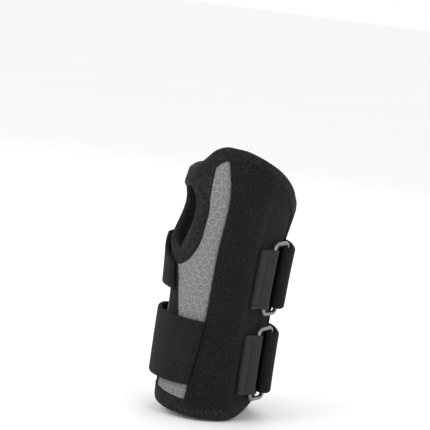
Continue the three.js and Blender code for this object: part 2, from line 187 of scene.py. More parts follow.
# ---- driving dimensions ----
MM = 0.001
BEND_RADIUS = 1100
PALMAR_DEPTH = 26
DORSAL_DEPTH = (26, 30.5, 102, 148)  # forearm, hand, and where one becomes the other
HALF_BREADTH = (34.5, 41, 90, 146)
ROUNDNESS = 2.3
THENAR = {"phi": 225, "s": 109, "height": 6, "spread_phi": 24, "spread_s": 24}
ORIGIN_SHIFT = (-3.3, -1.15)

SHEET = 3.5
HEM_TAPE = 9.5
TOP_TAPE = 8
SIDE_TAPE = 7.2
RIM_TAPE = 9
GAP = 0.3
MM_PER_DEGREE = 0.62
BUTT = 0.8  # degrees that each panel is pressed into the next at a seam
OPENING = (60, 407)
ULNAR_SEAM = 90
PALMAR_SEAM = 116
RADIAL_SEAM = 250
SEAM_STRIP = {
    "edge": [(10, 236), (56, 259.3), (62, 257), (74, 251.8), (86, 246.8), (95, 243)],
    "width": 19,
    "top": 96,
    "low": -0.1,
    "high": 0.42,
}
OVERLAY_SEAM = [(0, 277), (18, 281), (56, 288.5), (100, 289), (122, 291), (137, 290), (153, 284)]

BAND_WIDTH = 37
BAND_THICK = 2.4
BAND_LIFT = 1.1
BAND_CUT = 60
BAND_SHIFT = (125, 205)
BAND_RAMP = (20, 60)
BANDS = {
    "lower": {
        "s": 34.5,
        "bottom": 4.5,
        "top": 5.5,
        "anchor": [(16, 280.6), (37, 285.3), (57, 288.5)],
    },
    "upper": {
        "s": 86.5,
        "bottom": 4,
        "top": -4,
        "anchor": [(68, 252.5), (74, 250), (80.5, 247.5), (87, 244.5), (90, 236), (96, 224), (105, 212)],
    },
}
WIRE = 1.25
RING_LENGTH = 41.5
RING_CORNER = 3
INNER_LEG = (-5.7, 4.35)  # phi, h
OUTER_LEG = (24.2, 4.85)
KEEPER = {
    "from": -27,
    "width": 36,
    "thick": 0.9,
    "low": 2.45,
    "high": 3.45,
    "loop": 2.05,
    "box": (-25.5, -15.5, 15.5),  # its stitches: phi from and to, and half their length along s
}
TAIL_CUT = 48
TAIL_HINGE = 72
TAIL_END = 118
TAIL_CORNER = 5
HOOK_FROM = 97
HOOK_THICK = 1.0
HOOK_GAP = 0.7
HOOK_SEWN = 15  # half the height of the stitches round it
HOOK_INSET = (6, 2)  # degrees short of the tail's end, and millimetres in from its sides
HOOK_RAMP = (16, 2)  # degrees before the hook tape where the tail begins and ends its rise
POCKET = {"from": 119, "to": 190, "bottom": 20, "top": 130, "thick": 1.2, "build": 3.7}
POCKET_RAMP = ((2, 8), (7, 2))  # degrees in from its sides where it begins and ends its rise
OVER_POCKET = 0.2
STAY = {"bottom": 23, "top": 127, "thick": 2, "float": 1.6, "spoon": (93, 107)}
STAY_SIDES = {"narrow": 136, "spoon": 129, "ulnar": 181.5}
STAY_FOOT = {"drop": 5, "middle": 158, "half": 25}
STAY_TIP = {"drop": 6, "middle": 155, "half": 26}
STAY_COVER = {"from": 72, "to": 93, "bottom": 13, "top": 118, "low": -6.1, "high": -5.1}
RADIAL_STAY = (312, 9)  # phi and half-width in degrees
OVERLAY = {"thick": 1.2, "to": 354.5, "ridge": 1.1, "flare": (1, 13)}
TUCK = 1.5  # how far a sheet's end runs under the binding
SIDE_TUCK = 8  # degrees that the panels' ends run under the side bindings


# ---- the sleeve's shape ----
def lerp(a, b, t):
    return a + (b - a) * t


def smooth(x, a, b):
    t = min(1, max(0, (x - a) / (b - a)))
    return t * t * (3 - 2 * t)


def through(knots):
    """A smooth function through (place, value) knots, level beyond the ends."""
    slopes = []
    for i in range(len(knots)):
        (x0, y0), (x1, y1) = knots[max(0, i - 1)], knots[min(len(knots) - 1, i + 1)]
        slopes.append((y1 - y0) / (x1 - x0))

    def value(x):
        if x <= knots[0][0]:
            return knots[0][1]
        if x >= knots[-1][0]:
            return knots[-1][1]
        i = max(j for j, k in enumerate(knots) if k[0] <= x)
        width = knots[i + 1][0] - knots[i][0]
        t = (x - knots[i][0]) / width
        bend = (1 - t) * slopes[i] * width - t * slopes[i + 1] * width
        return lerp(knots[i][1], knots[i + 1][1], t * t * (3 - 2 * t)) + t * (1 - t) * bend

    return value


upper_edge = through([
    (60, 123), (75, 128), (95, 135), (130, 141), (180, 143), (208, 143), (228, 142), (245, 143),
    (255, 146), (262, 151), (269, 156.5), (277, 159.7), (285, 160.5), (298, 160.3), (320, 156), (343, 150),
    (366, 142.5), (375, 138.5), (396, 129), (407, 119),
])
hem = through([
    (60, 10), (66, 3.5), (74, 0), (110, 0), (140, 1.5), (172, 6), (205, 8), (228, 6.5), (245, 4.8),
    (262, 3.2), (284, 1.7), (300, 1), (315, 0.5), (332, 0.5), (345, 2), (359, 4.5), (385, 11), (400, 17),
    (407, 25),
])


def lower_edge(phi):
    return max(0, hem(phi))


def sleeve_radius(phi, s):
    c, n = math.cos(math.radians(phi)), math.sin(math.radians(phi))
    depth = lerp(*DORSAL_DEPTH[:2], smooth(s, *DORSAL_DEPTH[2:])) if c > 0 else PALMAR_DEPTH
    breadth = lerp(*HALF_BREADTH[:2], smooth(s, *HALF_BREADTH[2:]))
    total = abs(c / depth) ** ROUNDNESS + abs(n / breadth) ** ROUNDNESS
    across = (phi % 360 - THENAR["phi"]) / THENAR["spread_phi"]
    along = (s - THENAR["s"]) / THENAR["spread_s"]
    return total ** (-1 / ROUNDNESS) + THENAR["height"] * math.exp(-across * across - along * along)


def stay_radius(phi, s):
    c, n = math.cos(math.radians(phi)), math.sin(math.radians(phi))
    total = abs(c / PALMAR_DEPTH) ** ROUNDNESS + abs(n / HALF_BREADTH[1]) ** ROUNDNESS
    return total ** (-1 / ROUNDNESS)


def polar(radius, phi, s):
    r = radius(phi, s)
    return Vector((r * math.cos(math.radians(phi)), r * math.sin(math.radians(phi))))


def outward(radius, phi, s):
    step = 0.5
    along = polar(radius, phi + step, s) - polar(radius, phi - step, s)
    return Vector((along.y, -along.x)).normalized()


def in_section(radius, phi, s, h):
    return polar(radius, phi, s) + outward(radius, phi, s) * h


def to_frame(p, s):
    """A point of the section at s, in metres in the row's frame."""
    a = s / BEND_RADIUS
    c, n = math.cos(a), math.sin(a)
    x = BEND_RADIUS * (1 - c) + p.x * c + ORIGIN_SHIFT[0]
    return Vector((x, p.y + ORIGIN_SHIFT[1], BEND_RADIUS * n - p.x * n)) * MM


def on_sleeve(phi, s, h):
    return to_frame(in_section(sleeve_radius, phi, s, h), s)


def on_stay_path(phi, s, h):
    return to_frame(in_section(stay_radius, phi, s, h), s)


def over_pocket(share):
    def place(phi, s, h):
        t = share(phi)
        if t == 0:
            return on_sleeve(phi, s, h)
        return on_sleeve(phi, s, h).lerp(on_stay_path(phi, s, h + POCKET["build"]), t)

    return place


def cover_share(phi):
    start, end = POCKET["from"], POCKET["to"]
    rise, fall = POCKET_RAMP
    return smooth(phi, start + rise[0], start + rise[1]) * (1 - smooth(phi, end - fall[0], end - fall[1]))


def band_share(phi):
    start, end = POCKET["from"], POCKET["to"]
    return smooth(phi, start - BAND_RAMP[0], start) * (1 - smooth(phi, end, end + BAND_RAMP[1]))


on_pocket = over_pocket(cover_share)
on_band = over_pocket(band_share)


def sheet_bottom(phi):
    return lower_edge(phi) + HEM_TAPE + GAP


def sheet_top(phi):
    return upper_edge(phi) - TOP_TAPE - GAP


overlay_seam = through(OVERLAY_SEAM)


def ridge(phi):
    off = abs(phi - RADIAL_STAY[0]) - RADIAL_STAY[1]
    return OVERLAY["ridge"] * (1 - smooth(off, *OVERLAY["flare"]))


def band_low(phi):
    return lerp(BAND_LIFT, POCKET["thick"] + 2 * GAP + OVER_POCKET, band_share(phi))


def band_mid(phi):
    return band_low(phi) + BAND_THICK / 2


def tail_mid(phi):
    over_ring = OUTER_LEG[1] + WIRE + GAP - BAND_LIFT - BAND_THICK - GAP
    hook = (HOOK_THICK + HOOK_GAP) * smooth(phi, HOOK_FROM - HOOK_RAMP[0], HOOK_FROM - HOOK_RAMP[1])
    rise = over_ring * (1 - smooth(phi, OUTER_LEG[0] + 3, 52))
    return band_low(phi) + BAND_THICK + GAP + rise + hook + BAND_THICK / 2


# ---- the thumb hole's edge ----
HOLE = [
    (245, 95.3), (254.5, 102.5), (258.5, 114), (259.5, 125.5), (252, 131.5), (236, 130.5), (217, 127),
    (208.5, 118), (217, 104),
]
HOLE_STEPS = 18  # between corners
RIM_MOST = 24
RIM_SIDE = (273.5, 118, 0.1)  # phi of the rim's dorsal side, the s it starts from, and its least lean


def hole_outline():
    """Points round the hole's edge on a centripetal spline, in millimetres on the flat cloth."""
    corners = [Vector((phi * MM_PER_DEGREE, s)) for phi, s in HOLE]
    count = len(corners)
    points = []
    for i in range(count):
        p0, p1, p2, p3 = (corners[(i + k - 1) % count] for k in range(4))
        t1 = (p1 - p0).length ** 0.5
        t2 = t1 + (p2 - p1).length ** 0.5
        t3 = t2 + (p3 - p2).length ** 0.5
        for j in range(HOLE_STEPS):
            t = lerp(t1, t2, j / HOLE_STEPS)
            a1 = p0 * ((t1 - t) / t1) + p1 * (t / t1)
            a2 = p1 * ((t2 - t) / (t2 - t1)) + p2 * ((t - t1) / (t2 - t1))
            a3 = p2 * ((t3 - t) / (t3 - t2)) + p3 * ((t - t2) / (t3 - t2))
            b1 = a1 * ((t2 - t) / t2) + a2 * (t / t2)
            b2 = a2 * ((t3 - t) / (t3 - t1)) + a3 * ((t - t1) / (t3 - t1))
            points.append(b1 * ((t2 - t) / (t2 - t1)) + b2 * ((t - t1) / (t2 - t1)))
    return points


hole_points = hole_outline()


def rim_width(p, outward_share):
    """The rim's width beside the point p of the hole's edge. Its dorsal side runs straight up."""
    side, start, lean = RIM_SIDE
    if p.y < start or outward_share < lean:
        return RIM_TAPE
    return min(RIM_MOST, max(RIM_TAPE, (side * MM_PER_DEGREE - p.x) / outward_share))


def inside_hole(phi, s, margin):
    """Whether a place is within margin millimetres of the hole, or in it."""
    p = Vector((phi * MM_PER_DEGREE, s))
    inside = False
    for a, b in zip(hole_points, hole_points[1:] + hole_points[:1]):
        if (a.y > p.y) != (b.y > p.y) and p.x < a.x + (p.y - a.y) / (b.y - a.y) * (b.x - a.x):
            inside = not inside
    return inside or min((p - q).length for q in hole_points) < margin


# ---- mesh building ----
def as_object(name, bm):
    bmesh.ops.remove_doubles(bm, verts=bm.verts, dist=1e-6)
    bmesh.ops.dissolve_degenerate(bm, dist=1e-6, edges=bm.edges)
    bmesh.ops.recalc_face_normals(bm, faces=bm.faces)
    for face in bm.faces:
        face.smooth = True
    mesh = bpy.data.meshes.new(name)
    bm.to_mesh(mesh)
    bm.free()
    obj = bpy.data.objects.new(name, mesh)
    bpy.context.scene.collection.objects.link(obj)
    return obj


def divisions(length, cell, rounding, rounded):
    """Places along a length about a cell apart, and closer together in each rounded end."""
    inset = [0, 0.08, 0.3, 0.62, 1]
    start = [rounding * k for k in inset] if rounded[0] else [0]
    end = [length - rounding * k for k in reversed(inset)] if rounded[1] else [length]
    count = max(1, round((end[0] - start[-1]) / cell))
    return start[:-1] + [lerp(start[-1], end[0], i / count) for i in range(count + 1)] + end[1:]


def shell(name, size, thick, point, cell=2.0, rounded=((True, True), (True, True)), keep=None, relief=None):
    """A closed piece of cloth or sheet. point(u, v, o) places it: u and v run from 0 to 1, and o is in
    millimetres from the middle of its thickness. Its rounded sides are half round. keep(u, v) drops faces,
    and relief(u, v) is how far its outer face swells."""
    rounding = thick / 2
    us = divisions(size[0], cell, rounding, rounded[0])
    vs = divisions(size[1], cell, rounding, rounded[1])
    bm = bmesh.new()
    layer = bm.verts.layers.float_vector.new("cloth")

    def depth(u, v):
        sides = [u if rounded[0][0] else None, size[0] - u if rounded[0][1] else None]
        sides += [v if rounded[1][0] else None, size[1] - v if rounded[1][1] else None]
        near = min([side for side in sides if side is not None] + [rounding])
        return math.sqrt(max(0, 1 - (1 - near / rounding) ** 2)) * thick / 2

    grids = []
    for side in (1, -1):
        grid = []
        for u in us:
            row = []
            for v in vs:
                share = (u / size[0], v / size[1])
                swell = relief(*share) if relief and side > 0 else 0
                vert = bm.verts.new(point(*share, side * depth(u, v) + swell))
                vert[layer] = (u, v, 0)
                row.append(vert)
            grid.append(row)
        grids.append(grid)
    rows, columns = len(us) - 1, len(vs) - 1

    def kept(i, j):
        if not (0 <= i < rows and 0 <= j < columns):
            return False
        return keep is None or keep((us[i] + us[i + 1]) / 2 / size[0], (vs[j] + vs[j + 1]) / 2 / size[1])

    shown = [[kept(i, j) for j in range(columns)] for i in range(rows)]

    def is_shown(i, j):
        return 0 <= i < rows and 0 <= j < columns and shown[i][j]

    for i in range(rows):
        for j in range(columns):
            if not shown[i][j]:
                continue
            ring = [(i, j), (i + 1, j), (i + 1, j + 1), (i, j + 1)]
            bm.faces.new([grids[0][a][b] for a, b in ring])
            bm.faces.new([grids[1][a][b] for a, b in reversed(ring)])
            beside = [(i, j - 1), (i + 1, j), (i, j + 1), (i - 1, j)]
            for k, other in enumerate(beside):
                if not is_shown(*other):
                    (a, b), (c, d) = ring[k], ring[(k + 1) % 4]
                    bm.faces.new([grids[0][c][d], grids[0][a][b], grids[1][a][b], grids[1][c][d]])
    loose = [vert for vert in bm.verts if not vert.link_faces]
    bmesh.ops.delete(bm, geom=loose, context="VERTS")
    return as_object(name, bm)


def cut_panel(name, left, right, bottom, top, low, high, place=on_sleeve, hole=None, relief=None, **how):
    """A shell whose edges are given as in the CAD: left and right are phi at s, bottom and top s at phi.
    hole is how many millimetres it keeps off the thumb hole, if it meets it."""
    middle_s = (bottom(180) + top(180)) / 2
    middle_phi = (left(middle_s) + right(middle_s)) / 2
    size = ((right(middle_s) - left(middle_s)) * MM_PER_DEGREE, top(middle_phi) - bottom(middle_phi))

    def side(edge, v):
        phi = edge(middle_s)
        for _ in range(4):
            phi = edge(lerp(bottom(phi), top(phi), v))
        return phi

    sides = {}

    def flat(u, v):
        if v not in sides:
            sides[v] = (side(left, v), side(right, v))
        phi = lerp(*sides[v], u)
        return phi, lerp(bottom(phi), top(phi), v)

    def point(u, v, o):
        phi, s = flat(u, v)
        return place(phi, s, (low(phi) + high(phi)) / 2 + o)

    def keep(u, v):
        return not inside_hole(*flat(u, v), hole)

    def swell(u, v):
        return relief(*flat(u, v))

    thick = high(middle_phi) - low(middle_phi)
    return shell(
        name, size, thick, point, keep=keep if hole else None, relief=swell if relief else None, **how
    )


def tape_profile(width, low, high):
    """The tape's section as (d, h): d in from the edge, h above the sleeve. It runs along the outer face,
    round the fold's nose, along the inner face and back inside, where the cloth's own edge is."""
    skin, crown, nose, cloth_edge, steps = 0.5, 0.18, 1.9, 1.25, 8
    profile = [(width, high - 0.1), (width - 0.1, high + 0.32), (width - 0.7, high + skin)]
    profile += [(width * k, high + skin + crown * math.sin(math.pi * k)) for k in (0.8, 0.6, 0.4, 0.25)]
    middle, half = (low + high) / 2, (high - low) / 2 + skin
    for step in range(steps + 1):
        angle = math.pi * (0.5 - step / steps)
        profile.append((nose - nose * math.cos(angle), middle + half * math.sin(angle)))
    profile += [(width * k, low - 0.4) for k in (0.3, 0.6, 0.85)]
    profile += [(width - 0.1, low - 0.25), (width, low + 0.1)]
    profile += [(width * 0.5, low + 0.25), (cloth_edge, low + 0.4), (cloth_edge, high - 0.4)]
    return profile + [(width * 0.5, high - 0.25)]


def tape(name, path, closed, low=-SHEET, high=0.0):
    """Folded binding tape along path (t, width, place), where place(d, h) is d millimetres in from the
    edge."""
    bm = bmesh.new()
    layer = bm.verts.layers.float_vector.new("cloth")
    rings = []
    for t, width, place in path:
        ring = []
        for k, (d, h) in enumerate(tape_profile(width, low, high)):
            vert = bm.verts.new(place(d, h))
            vert[layer] = (t, k * 0.8, 0)
            ring.append(vert)
        rings.append(ring)
    pairs = list(zip(rings, rings[1:])) + ([(rings[-1], rings[0])] if closed else [])
    count = len(rings[0])
    for a, b in pairs:
        for k in range(count):
            bm.faces.new([a[k], a[(k + 1) % count], b[(k + 1) % count], b[k]])
    if not closed:
        bm.faces.new(rings[0])
        bm.faces.new(reversed(rings[-1]))
    return as_object(name, bm)


THREAD_LIFT = 0.1

# a stitch's stations: the share of its length, and its radius and lift in thread radii
STITCH = [(0.0, 0.45, -0.9), (0.15, 0.9, 0.1), (0.5, 1.0, 0.45), (0.85, 0.9, 0.1), (1.0, 0.45, -0.9)]


def thread(bm, layer, a, b, normal, radius):
    """One stitch: a short thread from a to b, in metres, that dips at both ends."""
    sides = 6
    along = (b - a).normalized()
    across = along.cross(normal).normalized()
    up = across.cross(along).normalized()
    rings = []
    for share, size, lift in STITCH:
        centre = a.lerp(b, share) + up * radius * lift
        ring = []
        for k in range(sides):
            angle = 2 * math.pi * k / sides
            vert = bm.verts.new(centre + (across * math.cos(angle) + up * math.sin(angle)) * radius * size)
            vert[layer] = (share, 0, 0)
            ring.append(vert)
        rings.append(ring)
    for one, two in zip(rings, rings[1:]):
        for k in range(sides):
            bm.faces.new([one[k], one[(k + 1) % sides], two[(k + 1) % sides], two[k]])
    bm.faces.new(reversed(rings[0]))
    bm.faces.new(rings[-1])


def stitches(name, runs, pitch=2.6, fill=0.78, radius=0.2, zigzag=0.0):
    """Sewn lines. A run is a list of (point, normal, side), in metres, where side points across the line."""
    bm = bmesh.new()
    layer = bm.verts.layers.float_vector.new("cloth")
    for run in runs:
        lengths = [0.0]
        for one, two in zip(run, run[1:]):
            lengths.append(lengths[-1] + (two[0] - one[0]).length)
        count = max(1, round(lengths[-1] / (pitch * MM)))

        def at(distance):
            k = max(i for i, v in enumerate(lengths[:-1]) if v <= distance + 1e-12)
            t = (distance - lengths[k]) / max(1e-9, lengths[k + 1] - lengths[k])
            return [p.lerp(q, t) for p, q in zip(run[k], run[k + 1])]

        for i in range(count):
            start = at(lengths[-1] * i / count)
            stop = at(lengths[-1] * (i + fill) / count)
            swing = zigzag * MM / 2 * (1 if i % 2 else -1)
            a = start[0] - start[2] * swing
            b = stop[0] + stop[2] * swing
            thread(bm, layer, a, b, start[1], radius * MM)
    return as_object(name, bm)


def seam(places, place=on_sleeve):
    """A run for stitches() through (phi, s, h) places."""
    run = []
    for i, (phi, s, h) in enumerate(places):
        p = place(phi, s, h)
        normal = (place(phi, s, h + 1) - p).normalized()
        before, after = places[max(0, i - 1)], places[min(len(places) - 1, i + 1)]
        along = (place(*after) - place(*before)).normalized()
        run.append((p, normal, normal.cross(along).normalized()))
    return run


def spaced(start, end, step):
    count = max(1, math.ceil(abs(end - start) / step))
    return [lerp(start, end, i / count) for i in range(count + 1)]


def wrinkle(phi, s, size, height, seed=0):
    p = Vector((phi * MM_PER_DEGREE / size, s / size, seed * 7.3))
    return height * noise.noise(p)


# ---- materials ----
class Shader:
    """A material's nodes, with short ways to add and link them."""

    def __init__(self, name):
        self.material = bpy.data.materials.new(name)
        self.material.use_nodes = True
        self.tree = self.material.node_tree
        self.surface = self.tree.nodes["Principled BSDF"]

    def node(self, kind, sources=(), **settings):
        made = self.tree.nodes.new(kind)
        for key, value in settings.items():
            setattr(made, key, value)
        for socket, value in dict(sources).items():
            self.put(made.inputs[socket], value)
        return made

    def put(self, socket, value):
        if isinstance(value, bpy.types.NodeSocket):
            self.tree.links.new(value, socket)
        else:
            socket.default_value = value

    def math(self, operation, a, b=0.0, clamp=False):
        return self.node("ShaderNodeMath", {0: a, 1: b}, operation=operation, use_clamp=clamp).outputs[0]

    def vector(self, operation, a, b=(0, 0, 0)):
        return self.node("ShaderNodeVectorMath", {0: a, 1: b}, operation=operation)

    def cloth(self, stretch=(1, 1, 1)):
        """Where a point is on the flat cloth, in millimetres."""
        place = self.node("ShaderNodeAttribute", attribute_name="cloth").outputs["Vector"]
        return self.vector("MULTIPLY", place, stretch).outputs[0]

    def space(self, scale):
        """Where a point is on the object at rest, in units of scale to the metre."""
        place = self.node("ShaderNodeTexCoord").outputs["Object"]
        return self.vector("MULTIPLY", place, (scale, scale, scale)).outputs[0]

    def noise(self, place, scale, detail=3.0, roughness=0.6):
        sources = {"Vector": place, "Scale": scale, "Detail": detail, "Roughness": roughness}
        return self.node("ShaderNodeTexNoise", sources).outputs["Fac"]

    def ramp(self, value, low, high, to_low=0.0, to_high=1.0):
        sources = {"Value": value, "From Min": low, "From Max": high, "To Min": to_low, "To Max": to_high}
        return self.node("ShaderNodeMapRange", sources, clamp=True).outputs["Result"]

    def colour(self, share, low, high):
        mix = self.node("ShaderNodeMix", data_type="RGBA")
        self.put(mix.inputs[0], share)
        self.put(mix.inputs[6], (*low, 1))
        self.put(mix.inputs[7], (*high, 1))
        return mix.outputs[2]

    def bump(self, heights):
        """Stacks bumps, each (height, distance in millimetres, strength)."""
        normal = None
        for height, distance, strength in heights:
            sources = {"Height": height, "Distance": distance * MM, "Strength": strength}
            if normal is not None:
                sources["Normal"] = normal
            normal = self.node("ShaderNodeBump", sources).outputs["Normal"]
        self.put(self.surface.inputs["Normal"], normal)

    def set(self, **values):
        for key, value in values.items():
            self.put(self.surface.inputs[key.replace("_", " ")], value)
        return self.material

    def from_centre(self, pitch, place):
        """The distance from the middle of the nearest cell of a honeycomb, as a share of its pitch."""
        cell = (1, math.sqrt(3), 1)
        half = (0.5, math.sqrt(3) / 2, 0)
        place = self.vector("MULTIPLY", place, (1 / pitch, 1 / pitch, 0)).outputs[0]
        place = self.vector("ADD", place, (40, 40 * math.sqrt(3), 0)).outputs[0]
        nearest = []
        for shift in ((0, 0, 0), half):
            wrapped = self.vector("MODULO", self.vector("ADD", place, shift).outputs[0], cell).outputs[0]
            off = self.vector("SUBTRACT", wrapped, half).outputs[0]
            nearest.append(self.vector("LENGTH", off).outputs[1])
        return self.math("MINIMUM", *nearest)


def knitted_mesh():
    shader = Shader("grey_mesh")
    place = shader.cloth()
    waves = shader.node("ShaderNodeTexNoise", {"Vector": place, "Scale": 0.35, "Detail": 1.0})
    warp = shader.vector("SUBTRACT", waves.outputs["Color"], (0.5, 0.5, 0.5)).outputs[0]
    bend = shader.vector("MULTIPLY", warp, (1.3, 1.3, 0)).outputs[0]
    bent = shader.vector("ADD", place, bend).outputs[0]
    distance = shader.from_centre(4.4, bent)
    border = shader.ramp(distance, 0.32, 0.48)
    hollow = shader.math("MULTIPLY", shader.ramp(distance, 0.05, 0.26), shader.ramp(distance, 0.48, 0.3))
    dots = shader.ramp(shader.from_centre(0.85, place), 0.2, 0.42)
    fleck = shader.noise(place, 1.1, 4, 0.7)
    shade = shader.ramp(border, 0, 1, 0.6, 0.68)
    shade = shader.math("SUBTRACT", shade, shader.math("MULTIPLY", hollow, 0.12))
    shade = shader.math("MULTIPLY", shade, shader.ramp(dots, 0, 1, 0.72, 1.0))
    shade = shader.math("MULTIPLY", shade, shader.ramp(fleck, 0.32, 0.68, 0.4, 1.6))
    shader.bump([(border, 0.2, 0.3), (dots, 0.2, 0.6), (fleck, 0.15, 0.5)])
    colour = shader.colour(shade, (0.03, 0.029, 0.031), (0.335, 0.325, 0.345))
    return shader.set(Base_Color=colour, Roughness=0.85, Sheen_Weight=0.05, Specular_IOR_Level=0.25)


def brushed_loop(name, dark, light, coarse=1.0, sheen=0.03):
    shader = Shader(name)
    fuzz = shader.noise(shader.cloth(), 1.1 * coarse, 5, 0.8)
    tufts = shader.noise(shader.cloth((1, 1.3, 1)), 0.5 * coarse, 3, 0.6)
    clouds = shader.noise(shader.cloth(), 0.05, 2)
    shade = shader.math("MULTIPLY", shader.ramp(fuzz, 0.42, 0.64), shader.ramp(tufts, 0.3, 0.7, 0.35, 1.1))
    shade = shader.math("MULTIPLY", shade, shader.ramp(clouds, 0.3, 0.7, 0.65, 1.0))
    shader.bump([(tufts, 0.35, 0.6), (fuzz, 0.25, 0.8)])
    colour = shader.colour(shade, dark, light)
    return shader.set(
        Base_Color=colour, Roughness=0.95, Sheen_Weight=sheen, Sheen_Roughness=0.6, Specular_IOR_Level=0.08
    )


def woven_webbing():
    shader = Shader("webbing")
    place = shader.cloth()
    parts = shader.node("ShaderNodeSeparateXYZ", {0: place})
    along = shader.math("SINE", shader.math("MULTIPLY", parts.outputs[0], 2 * math.pi / 0.9))
    across = shader.math("SINE", shader.math("MULTIPLY", parts.outputs[1], 2 * math.pi / 1.3))
    weave = shader.math("MULTIPLY", along, across)
    fine = shader.noise(place, 3.0, 3)
    shade = shader.math("ADD", shader.ramp(weave, -1, 1, 0.0, 0.7), shader.ramp(fine, 0.3, 0.7, 0.0, 0.3))
    shader.bump([(weave, 0.12, 0.6), (fine, 0.05, 0.4)])
    colour = shader.colour(shade, (0.012, 0.0117, 0.0105), (0.036, 0.035, 0.032))
    return shader.set(Base_Color=colour, Roughness=0.6, Specular_IOR_Level=0.2)


def hook_tape():
    shader = Shader("hook_tape")
    peaks = shader.ramp(shader.from_centre(1.1, shader.cloth()), 0.1, 0.35, 1.0, 0.0)
    shader.bump([(peaks, 0.5, 1.0)])
    colour = shader.colour(peaks, (0.008, 0.008, 0.008), (0.03, 0.03, 0.03))
    return shader.set(Base_Color=colour, Roughness=0.45)


def sewing_thread():
    shader = Shader("thread")
    twist = shader.noise(shader.space(2500), 1.0, 2)
    colour = shader.colour(twist, (0.005, 0.005, 0.005), (0.02, 0.019, 0.019))
    shader.bump([(twist, 0.08, 0.5)])
    return shader.set(Base_Color=colour, Roughness=0.7, Specular_IOR_Level=0.2)


def satin_metal(name, low, high, roughness, grain):
    shader = Shader(name)
    streak = shader.noise(shader.vector("MULTIPLY", shader.space(1.0), grain).outputs[0], 1.0, 3)
    wear = shader.noise(shader.space(90), 1.0, 4)
    colour = shader.colour(shader.ramp(wear, 0.3, 0.7), low, high)
    rough = shader.ramp(streak, 0.3, 0.7, roughness - 0.07, roughness + 0.1)
    shader.bump([(streak, 0.02, 0.35)])
    return shader.set(Base_Color=colour, Metallic=1.0, Roughness=rough)


def flooring():
    shader = Shader("floor")
    tint = shader.noise(shader.space(3), 1.0, 2)
    return shader.set(Base_Color=shader.colour(tint, (0.91, 0.91, 0.91), (0.94, 0.94, 0.94)), Roughness=0.8)


GREY_MESH = knitted_mesh()
LOOP = brushed_loop("black_loop", (0.0035, 0.0031, 0.0035), (0.032, 0.0296, 0.031))
BAND_LOOP = brushed_loop("band_loop", (0.0045, 0.0041, 0.0042), (0.038, 0.0352, 0.0352), 1.2)
BINDING = brushed_loop("binding", (0.0055, 0.0047, 0.0047), (0.047, 0.041, 0.0413), 0.8, 0.04)
WEBBING = woven_webbing()
HOOK = hook_tape()
THREAD = sewing_thread()
NICKEL = satin_metal("nickel", (0.2, 0.192, 0.176), (0.31, 0.297, 0.275), 0.34, (900, 900, 900))
ALUMINIUM = satin_metal("aluminium", (0.62, 0.63, 0.65), (0.74, 0.75, 0.77), 0.38, (2500, 2500, 60))
SPRING_STEEL = satin_metal("spring_steel", (0.36, 0.37, 0.39), (0.5, 0.51, 0.53), 0.36, (2500, 2500, 60))


def finished(obj, material, slot, body=None, nodes=()):
    obj.data.materials.clear()
    obj.data.materials.append(material)
    if body:
        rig.ride(obj, body)
    if nodes:
        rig.replaces(obj, *nodes)
    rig.slot(obj, slot)
    return obj


def declare_sheet(obj, flat, thick, under):
    """Declares a sewn-down sheet of cloth, whose flat area is that of one of its faces."""
    bm = bmesh.new()
    bm.from_mesh(obj.data)
    both = sum(face.calc_area() for face in bm.faces)
    bm.free()
    rim = 2 * sum(flat) * thick * MM
    area = (both - rim) / 2
    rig.sheet(obj, flat, "stretched", [under], min(area, flat[0] * flat[1]))


# ---- the sleeve's panels ----
def fixed(value):
    return lambda _: value


def butted(seam_phi, side):
    return fixed(seam_phi + side * BUTT)


def butted_overlay(side):
    return lambda s: overlay_seam(s) + side * BUTT


def panel_relief(seed):
    def relief(phi, s):
        return wrinkle(phi, s, 26, 0.22, seed) + wrinkle(phi, s, 9, 0.1, seed + 1)

    return relief


PANELS = [
    ("ulnar_panel", fixed(OPENING[0] + SIDE_TUCK), butted(ULNAR_SEAM, 1), LOOP, "loop", False),
    ("ulnar_mesh_panel", butted(ULNAR_SEAM, -1), butted(PALMAR_SEAM, 1), GREY_MESH, "mesh", False),
    ("palmar_panel", butted(PALMAR_SEAM, -1), butted(RADIAL_SEAM, 1), GREY_MESH, "mesh", True),
    ("radial_mesh_panel", butted(RADIAL_SEAM, -1), butted_overlay(1), GREY_MESH, "mesh", True),
    ("dorsal_panel", butted_overlay(-1), fixed(OPENING[1] - SIDE_TUCK), LOOP, "loop", False),
]
for index, (name, left, right, material, slot, has_hole) in enumerate(PANELS):
    panel = cut_panel(
        name + "_cloth",
        left,
        right,
        lambda phi: lower_edge(phi) + HEM_TAPE / 2,
        lambda phi: upper_edge(phi) - TOP_TAPE / 2,
        fixed(-SHEET),
        fixed(0.0),
        hole=RIM_TAPE / 2 if has_hole else None,
        cell=1.6,
        relief=panel_relief(index * 3),
    )
    finished(panel, material, slot, "sleeve", [name])
    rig.padded(panel, 1.0)

